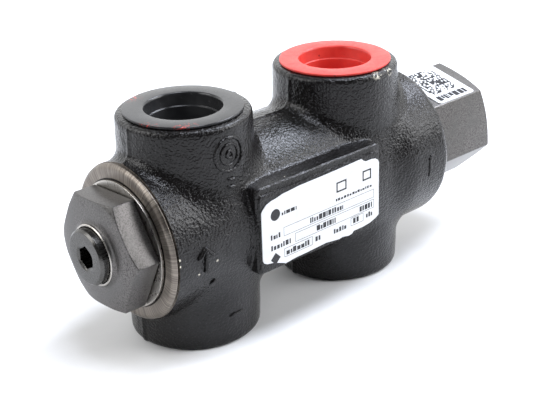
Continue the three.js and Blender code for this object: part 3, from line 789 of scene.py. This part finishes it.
def valve_body():
    step = STEP
    low = np.array([LEFT_FACE - 2.5, -HALF_DEPTH, -PORT_FACE - 2.2])
    high = np.array([RIGHT_FACE + 2.5, HALF_DEPTH, PORT_FACE + 2.2])
    counts = np.ceil((high - low) / step).astype(int) + 1
    x, y, z = (low[axis] + step * np.arange(counts[axis], dtype=np.float32) for axis in range(3))
    field = casting_field(x[:, None, None], y[None, :, None], z[None, None, :])
    points, quads = surface_net(field, low, step)
    made = new_object("valve_body_casting", settle(points), quads.tolist(), ["paint", "machined"])
    mesh = made.data
    count = len(mesh.vertices)
    placed, normals = np.empty(count * 3), np.empty(count * 3)
    mesh.vertices.foreach_get("co", placed)
    mesh.vertex_normals.foreach_get("vector", normals)
    placed, normals = placed.reshape(-1, 3), normals.reshape(-1, 3)
    local = placed / MM - ORIGIN
    rough = sum(height * value_noise(local, spacing, seed) for height, spacing, seed in SKIN)
    calm = np.where(np.abs(local[:, 1]) > PAD["face"] + 0.3, 0.1, 1.0)
    placed += normals * (rough * calm)[:, None] * MM
    mesh.vertices.foreach_set("co", placed.ravel())
    mesh.update()
    tools = [bore_tool(), left_end_tool(), right_end_tool()]
    tools += [port_tool(side, up) for side in (-1, 1) for up in (-1, 1)]
    for tool in tools:
        tool.data.materials.clear()
        tool.data.materials.append(FINISHES["paint"])
        tool.data.materials.append(FINISHES["machined"])
        for polygon in tool.data.polygons:
            across = polygon.center / MM - Vector(ORIGIN)
            spread = max(abs(abs(across.x) - PORT_X), abs(across.y))
            painted = tool.name.startswith("port") and spread > PORT_MOUTH
            polygon.material_index = 0 if painted else 1
    cut(made, tools)
    piece(made, "root", ["valve_body"], 38)


# ---- left end -----------------------------------------------------------------------------------
def crown(radius):
    """Station of the plug's domed face at a radius: a shallow crown, then a chamfer."""
    shallow = CROWN_DROP * ((min(radius, CROWN_END) - CROWN_START) / (CROWN_END - CROWN_START)) ** 2
    return PLUG_FRONT + shallow + CHAMFER_SLOPE * max(radius - CROWN_END, 0)


def end_plug():
    inner = PLUG_INNER - 0.15  # just short of the stop ring with the spindle screwed right out

    def outline(angle):
        edge = hexagon_radius(angle, PLUG_FLATS, PLUG_CORNER, 0.35)
        bore_step = -51.5
        points = [
            (inner, 6.15, 0.3), (bore_step, 6.15, 0.1), (bore_step, HEAD_BORE, 0.1),
            (NECK_RIM + 0.2, HEAD_BORE, 0.05), (NECK_RIM, HEAD_BORE + 0.2, 0.08), (NECK_RIM, 8.85, 0.1),
            (NECK_RIM + 0.25, 9.12, 0.1), (PLUG_FRONT - 0.35, 9.3, 0.3), (PLUG_FRONT, CROWN_START, 0.5),
        ]
        knee = min(CROWN_END, edge - 0.25)
        shares = (0.25, 0.5, 0.75)
        points += [(crown(r), r, 0.1) for r in (CROWN_START + (knee - CROWN_START) * s for s in shares)]
        points += [(crown(knee), knee, 0.1), (crown(edge), edge, 0.22)]
        points += [(PLUG_SEAT - 0.35, edge, 0.15), (PLUG_SEAT, edge - 0.35, 0.1), (PLUG_SEAT, SHANK, 0.1)]
        return points + [(inner - 1, SHANK, 0.1), (inner, SHANK - 1, 0.1)]

    made = hexagonal("end_plug_hexagon", outline, PLUG_CORNER, ["phosphated", "washer"])
    for polygon in made.data.polygons:
        polygon.material_index = int(polygon.center.x / MM - ORIGIN[0] < NECK_RIM + 0.22)
    piece(made, "root", ["end_plug"], 24)


def adjusting_spindle():
    floor = SPINDLE_FACE + SOCKET_DEPTH

    def outline(angle):
        key = hexagon_radius(angle, SOCKET_FLATS, SOCKET_CORNER, 0.12)
        return [
            (floor + 1.4, 0, 0), (floor, 2.6, 0.05), (floor, key, 0.05), (SPINDLE_FACE + 0.4, key, 0.08),
            (SPINDLE_FACE, 3.95, 0.08), (SPINDLE_FACE, HEAD - 0.7, 0.1), (SPINDLE_FACE + 0.7, HEAD, 0.12),
            (-60.35, HEAD, 0.1), (-60.35, 6.45, 0.1), (-57.4, 6.45, 0.1), (-57.4, HEAD, 0.1),
            (-56.3, HEAD, 0.2), (-56.3, THREAD_RADIUS, 0.1), (-41.9, THREAD_RADIUS, 0.1), (-41.9, 4.6, 0.05),
            (-40.5, 4.6, 0.05), (-40.5, THREAD_RADIUS, 0.1), (-39.4, THREAD_RADIUS, 0.2), (-39.0, 5.6, 0.1),
            (-39.0, 3.0, 0.1), (-35.2, 3.0, 0.1), (-35.2, 4.4, 0.1), (-33.4, 4.4, 0.3),
            (SPINDLE_TIP, 2.6, 0.3), (SPINDLE_TIP, 0, 0),
        ]

    made = hexagonal("adjusting_spindle_head", outline, SOCKET_CORNER, ["turned"])
    piece(made, "spindle", ["adjusting_spindle"], 24)


def flat_ring(name, node, inner, outer, finish, slot, body="root", size=0.12):
    first, last = along(node)
    outline = [(first, inner), (first, outer), (last, outer), (last, inner)]
    piece(turned(name, outline, [finish], size=size), body, [node])


def round_ring(name, station, centre, section, node, body):
    row = [(station + section * math.cos(turn), centre + section * math.sin(turn))
           for turn in even_angles(20)]
    angles = even_angles()
    made = new_object(name, *wrap([row] * len(angles), angles, "x"), ["rubber"])
    piece(made, body, [node], 60)


def throttle_cone():
    outline = [
        (-38.6, 5.5), (-38.6, 12.2, 0.3), (-36.2, 12.2, 0.3), (-36.2, 8.0, 0.2), (-19.6, 8.0, 0.2),
        (-9.1, 2.9, 0.3), (-9.1, 0), (-32.3, 0), (-32.3, 4.6), (-35.5, 4.6), (-35.5, 5.5),
    ]
    made = turned("throttle_cone_turned", outline, ["ground"])
    hole = turned("hole_tool", [(-41, 0), (-41, 1.3), (-34, 1.3), (-34, 0)], ["ground"], columns=24, size=0)
    hole.location.z = along_pin() * MM
    bpy.context.view_layer.update()
    cut(made, [hole])
    piece(made, "throttle", ["throttle_cone"])


def along_pin():
    """Height of the guide pin's axis over the bore axis."""
    return sum(upward("cone_guide_pin")) / 2


def guide_pin():
    first, last = along("cone_guide_pin")
    made = turned("guide_pin_turned", [(first, 0), (first, 1.2, 0.3), (last, 1.2, 0.3), (last, 0)],
                  ["ground"], columns=32)
    made.data.transform(Matrix.Translation((0, 0, along_pin() * MM)))
    piece(made, "root", ["cone_guide_pin"])


# ---- middle and right end -----------------------------------------------------------------------
def plain_pieces():
    """Turned pieces in one finish, each replacing one CAD node."""
    bush = [
        (-11.0, 6.3), (-11.0, 12.7), (-9.1, 12.7), (-9.1, 10.0), (-1.2, 10.0, 0.05), (-1.2, 8.3, 0.05),
        (1.2, 8.3, 0.05), (1.2, 10.0, 0.05), (9.0, 10.0, 0.3), (9.5, 9.5), (9.5, 6.5), (9.0, 6.0),
        (-10.7, 6.0),
    ]
    poppet = [
        (6.6, 0), (6.6, 4.0), (7.2, 4.4), (12.6, 8.6, 0.2), (16.8, 8.6, 0.3), (18.0, 4.0, 0.6), (55.5, 4.0),
        (55.5, 3.0, 0.05), (60.2, 3.0, 0.05), (60.2, 2.4, 0.05), (61.3, 2.4, 0.05), (61.3, 3.0, 0.05),
        (62.0, 3.0), (62.4, 2.6), (62.4, 0),
    ]
    plate = [(55.6, 3.15), (55.6, 9.4, 0.3), (57.8, 9.4, 0.3), (57.8, 5.6), (60.0, 5.6, 0.3), (60.0, 3.15)]
    for name, outline, finish, body, slot, node in (
            ("seat_bush_turned", bush, "ground", "root", "ground_steel", "seat_bush"),
            ("poppet_turned", poppet, "ground", "poppet", "ground_steel", "compensator_poppet"),
            ("spring_plate_turned", plate, "phosphated", "poppet", "phosphated_steel", "spring_plate")):
        piece(turned(name, outline, [finish]), body, [node])


def compensator_spring():
    """A round-wire compression spring whose end turns close up."""
    first, last = along("compensator_spring")
    centre, wire, turns, per_turn, section = 7.6, 0.9, 6, 36, 14
    rise = 2 * wire + 0.15
    rows = []
    for step in range(turns * per_turn + 1):
        turn = step / per_turn
        inner = first + wire + rise + (last - first - 2 * wire - 2 * rise) * (turn - 1) / (turns - 2)
        station = first + wire + rise * turn if turn < 1 else inner
        station = last - wire - rise * (turns - turn) if turn > turns - 1 else station
        angle = TURN * turn
        rows.append([(station + wire * math.cos(spoke), (centre + wire * math.sin(spoke)) * math.cos(angle),
                      (centre + wire * math.sin(spoke)) * math.sin(angle)) for spoke in even_angles(section)])
    points = [point for row in rows for point in row]
    made = piece(new_object("compensator_spring_wire", points, tube_faces(len(rows), section), ["spring"]),
                 "root", ["compensator_spring"], 50)
    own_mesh(made)


def hex_cap():
    lip = CAP_CHAMFER["end"]
    slope = CAP_CHAMFER["length"] / (CAP_CHAMFER["start"] - lip)

    def outline(angle):
        edge = hexagon_radius(angle, CAP_FLATS, CAP_CORNER, 0.4)
        return [
            (CAP_INNER, 11.2, 0.2), (53.1, 11.2, 0.1), (53.1, 10.2, 0.1), (82.2, 10.2, 0.1), (83.7, 0, 0),
            (CAP_END, 0, 0), (CAP_END, lip, 0.3), (CAP_END - slope * (edge - lip), edge, 0.3),
            (CAP_SEAT + 0.4, edge, 0.2), (CAP_SEAT, edge - 0.4, 0.1), (CAP_SEAT, SHANK, 0.1),
            (CAP_INNER + 1, SHANK, 0.1), (CAP_INNER, SHANK - 1, 0.1),
        ]

    made = hexagonal("hex_cap_hexagon", outline, CAP_CORNER, ["phosphated"])
    piece(made, "root", ["hex_cap"], 24)


# ---- protection plugs ---------------------------------------------------------------------------
def port_plug(colour, side, body):
    node = f"port_plug_{colour}"
    bottom, top = upward(node)
    seat, floor = PORT_FACE + 0.1, bottom + 1.0
    ribs = []
    for rib in range(3):
        height = bottom + 3.2 + 3.6 * rib
        radius = 11.45 + 0.035 * (height - bottom)
        ribs += [(height - 0.7, radius), (height, radius + 0.16), (height + 0.7, radius)]
    outline = [
        (bottom, 0), (bottom, 10.9, 0.4), (bottom + 0.6, 11.4, 0.4), *ribs, (seat, 11.9, 0.1),
        (seat, 17.2, 0.1), (seat + 0.3, 17.4, 0.2), (top, 17.3, 0.22), (top, 11.5, 0.3),
        (top - 0.5, 11.2, 0.3), (top - 3.9, 10.75, 0.12), (top - 4.0, 10.3, 0.12), (floor, 10.0, 0.6),
        (floor, 1.5, 0.2),
        (floor + 0.35, 1.1, 0.15), (floor + 0.35, 0),
    ]
    made = turned(f"{node}_moulding", outline, [colour], "z", side * PORT_X, columns=128)
    piece(made, body, [node])


# ---- labels -------------------------------------------------------------------------------------
def rectangle(left, bottom, right, top):
    return [(left, bottom), (right, bottom), (right, top), (left, top)]


def frame_lines(left, bottom, right, top, line):
    """The four lines of an empty box."""
    return [rectangle(left, bottom, right, bottom + line), rectangle(left, top - line, right, top),
            rectangle(left, bottom, left + line, top), rectangle(right - line, bottom, right, top)]


def dashes(chance, left, bottom, right, height, longest):
    """A row of short blank dashes where the real label has a word."""
    strokes, at = [], left
    while at < right - 0.3:
        end = min(at + chance.uniform(0.45, longest), right)
        drop = chance.choice([0.0, 0.0, 0.25]) * height
        strokes.append(rectangle(at, bottom, end, bottom + height - drop))
        at = end + chance.uniform(0.25, 0.45)
    return strokes


def disc(u, v, radius):
    return [(u + radius * math.cos(turn), v + radius * math.sin(turn)) for turn in even_angles(20)]


def name_plate():
    left, right = along("name_plate")
    bottom, top = upward("name_plate")
    face = box_mm("name_plate")[0][1]
    # The worn edge, as distances from the left edge and in from the top or the bottom.
    worn_top = [(0, 4.4), (0.6, 3.6), (2.0, 2.4), (4.0, 1.8), (5.7, 1.6), (8.2, 1.0), (10, 0.9), (15, 0.5),
                (24, 0.4), (32, 0.2), (38.5, 0), (40.2, 0), (41, 0.8), (42.2, 1.3), (44.5, 1.3), (46.2, 1.6),
                (47.1, 2.2), (right - left, 3.1)]
    worn_bottom = [(right - left, 2.8), (46.2, 2.0), (44, 1.3), (41, 0.9), (36.7, 0.9), (36, 0.2), (34.6, 0),
                   (32, 0.5), (30.5, 0.3), (25, 1.0), (17, 0.7), (12, 0.6), (8.6, 0.2), (7.9, 0.6), (4, 2.1),
                   (1.6, 2.5), (0.5, 3.1), (0, 4.0)]
    outline = [(left + inward, top - down) for inward, down in worn_top]
    outline += [(left + inward, bottom + up) for inward, up in worn_bottom]
    made = rods("name_plate_film", [outline], "film", face + 0.25, face + 0.02, lambda u, v, w: (u, w, v))
    piece(made, "root", ["name_plate"], 40)

    chance = np.random.default_rng(11)
    # Each is left, bottom, right, then height and longest dash, or top and line width.
    words = [
        (-16.2, 3.6, -10.4, 1.1, 1.6), (5.4, 0.7, 20.8, 0.8, 1.0), (-20.6, -2.9, -17.0, 1.6, 1.2),
        (-5.2, -2.7, 8.4, 1.7, 1.4), (-20.6, -6.3, -12.6, 1.6, 1.2), (-2.6, -6.1, 5.2, 1.7, 1.4),
        (15.4, -6.1, 20.8, 1.7, 1.2), (-14.8, -9.5, -5.2, 1.7, 1.5), (-3.2, -9.4, -0.8, 1.5, 1.2),
        (4.4, -9.6, 10.2, 1.5, 1.2), (12.6, -9.0, 15.6, 1.7, 1.2), (18.2, -9.0, 21.0, 1.6, 1.2),
    ]
    boxes = [
        (5.7, 3.4, 9.9, 6.7, 0.5), (16.7, 3.6, 20.4, 6.9, 0.5), (-15.6, -3.2, 21.6, -0.4, 0.12),
        (-11.2, -6.6, 21.6, -3.8, 0.12), (-15.6, -10.0, -4.4, -7.2, 0.12), (11.6, -9.6, 17.0, -6.9, 0.12),
    ]
    strokes = [disc(-18.6, 4.6, 1.8), [(-20.9, -9.2), (-19.0, -11.1), (-17.1, -9.2), (-19.0, -7.3)]]
    strokes += [dash for word in words for dash in dashes(chance, *word)]
    strokes += [side for box in boxes for side in frame_lines(*box)]
    tilt, middle = math.radians(0.3), np.array([(left + right) / 2, (bottom + top) / 2 + 0.7])

    def place(u, v, w):
        turned_u = u * math.cos(tilt) - v * math.sin(tilt)
        turned_v = u * math.sin(tilt) + v * math.cos(tilt)
        return (middle[0] + turned_u, w, middle[1] + turned_v)

    piece(rods("name_plate_print", strokes, "ink", face + 0.03, face, place), "root")


def cap_label():
    """The label on the cap: a generic square pattern of dots, and a blank bar for its word."""
    first, last = along("cap_data_label")
    normal = math.radians(CAP_CORNER + 90)
    apothem = CAP_FLATS / 2

    def place(u, v, w):
        """u along the bore, v across the flat towards the front, w out of it."""
        out = (math.cos(normal), math.sin(normal))
        across = (-math.sin(normal), math.cos(normal))
        skewed = u + 0.1 * v
        return (skewed, out[0] * (apothem + w) + across[0] * v, out[1] * (apothem + w) + across[1] * v)

    corner, half = 1.1, 9.1
    arcs = [math.radians(18 * step) for step in range(6)]
    centre = (first + last) / 2 - 1.7
    length = (last - first) / 2 - 0.5
    quarter = [(length - corner + corner * math.cos(a), half - corner + corner * math.sin(a)) for a in arcs]
    outline = quarter + [(-u, v) for u, v in reversed(quarter)]
    outline += [(-u, -v) for u, v in quarter] + [(u, -v) for u, v in reversed(quarter)]
    outline = [(centre + u, v) for u, v in outline]
    made = rods("cap_label_film", [outline], "film", 0.03, 0.28, place)
    piece(made, "root", ["cap_data_label"], 40)

    chance = np.random.default_rng(23)
    count, dot = 19, 0.66
    start_u, start_v = centre - count * dot / 2 - 0.4, -half + 0.9
    strokes = []
    for column in range(count):
        for row in range(count):
            if chance.random() < 0.58:
                u, v = start_u + column * dot, start_v + row * dot
                strokes.append(rectangle(u, v, u + dot * 0.97, v + dot * 0.97))
    strokes += dashes(np.random.default_rng(5), centre - 7.2, half - 3.5, centre + 6.6, 2.5, 2.2)
    piece(rods("cap_label_print", strokes, "ink", 0.27, 0.3, place), "root")


# ---- building -----------------------------------------------------------------------------------
def dress_kept_nodes():
    """The small clips keep their CAD shape and get a worked-up finish."""
    clips = ["spindle_stop_ring", "cone_swivel_clip", "seat_retaining_ring", "spring_plate_clip",
             "guide_bush_clip"]
    for name in clips:
        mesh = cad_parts[name].data
        mesh.materials.clear()
        mesh.materials.append(FINISHES["spring"])


def build_valve():
    valve_body()
    cast_marks()
    end_plug()
    adjusting_spindle()
    flat_ring("end_plug_washer", "end_plug_seal_ring", *WASHER_RADII, "washer", "soft_steel")
    flat_ring("cap_washer", "cap_seal_ring", *WASHER_RADII, "washer", "soft_steel")
    flat_ring("spindle_backup", "spindle_backup_ring", 6.55, HEAD, "ptfe", "white_plastic", "spindle")
    flat_ring("guide_bush_turned", "guide_bush", 4.1, 11.1, "bronze", "bush_brass", size=0.3)
    flat_ring("spring_shim_turned", "spring_shim", 4.0, 9.8, "phosphated", "phosphated_steel", size=0.2)
    round_ring("spindle_o_ring_round", -59.4, 7.4, 0.85, "spindle_o_ring", "spindle")
    round_ring("seat_o_ring_round", 0.0, 9.2, 0.8, "seat_o_ring", "root")
    throttle_cone()
    guide_pin()
    plain_pieces()
    compensator_spring()
    hex_cap()
    port_plug("black", -1, "black_plug")
    port_plug("red", 1, "red_plug")
    name_plate()
    cap_label()
    dress_kept_nodes()


# ---- studio -------------------------------------------------------------------------------------
def floor():
    mesh = bpy.data.meshes.new("floor")
    corners = [(x * FLOOR_HALF, y * FLOOR_HALF, 0) for x, y in ((-1, -1), (1, -1), (1, 1), (-1, 1))]
    mesh.from_pydata(corners, [], [(0, 1, 2, 3)])
    mesh.materials.append(FINISHES["floor"])
    plane = show("floor", mesh)


def softbox(name, direction, size, radiance, colour=(1, 1, 1)):
    """A square light of that radiance, facing the valve from a direction."""
    light = bpy.data.lights.new(name, "AREA")
    light.shape = "SQUARE"
    light.size = size
    light.energy = radiance * math.pi * size * size
    light.color = colour
    lamp = show(name, light)
    way = Vector(direction).normalized()
    lamp.location = Vector(LIGHT_TARGET) + way * LIGHT_DISTANCE
    lamp.rotation_euler = way.to_track_quat("Z", "Y").to_euler()


def surroundings():
    """A pale room: bright low behind the valve, dim overhead and on the camera's side."""
    world = bpy.data.worlds.new("studio")
    world.use_nodes = True
    graph = Graph(world.node_tree, "Generated")

    def graded(axis, *slope):
        inputs = {0: graph.place, 1: axis}
        height = graph.node("ShaderNodeVectorMath", inputs, operation="DOT_PRODUCT").outputs["Value"]
        return graph.spread(height, *slope, interpolation_type="SMOOTHSTEP")

    brightness = graph.math("MULTIPLY", graded(BEHIND, *BEHIND_GRADE), graded((0, 0, 1), *HIGH_GRADE))
    background = graph.tree.nodes["Background"]
    graph.feed(background.inputs["Strength"], brightness)
    graph.feed(background.inputs["Color"], (0.98, 0.99, 1.0))
    bpy.context.scene.world = world


def camera():
    """Looks at the valve from its front left, a little above it."""
    azimuth, elevation, roll = (math.radians(value) for value in (AZIMUTH, ELEVATION, ROLL))
    back = Vector((math.sin(azimuth) * math.cos(elevation), -math.cos(azimuth) * math.cos(elevation),
                   math.sin(elevation)))
    level = Vector((math.cos(azimuth), math.sin(azimuth), 0))
    above = back.cross(level)
    right = level * math.cos(roll) + above * math.sin(roll)
    up = above * math.cos(roll) - level * math.sin(roll)
    eye = Matrix((right, up, back)).transposed().to_4x4()
    eye.translation = (np.array(EYE) + ORIGIN) * MM
    data = bpy.data.cameras.new("camera")
    data.sensor_width = 36
    data.lens = FOCAL_LENGTH
    data.clip_start = 0.01
    made = show("camera", data)
    made.matrix_world = eye
    bpy.context.scene.camera = made


def studio():
    floor()
    surroundings()
    softbox("overhead", (0.6, -0.05, 0.8), 0.38, 17.5, (0.83, 0.88, 1.0))
    softbox("top", (0.0, -0.18, 0.98), 0.36, 13.0, (0.86, 0.9, 1.0))
    softbox("key", (0.6, -0.62, 0.5), 0.5, 7.0, (0.97, 0.98, 1.0))
    softbox("left", (-0.75, 0.3, 0.6), 0.5, 5.0)
    bpy.context.scene.view_settings.view_transform = "Standard"


camera()
studio()
build_valve()
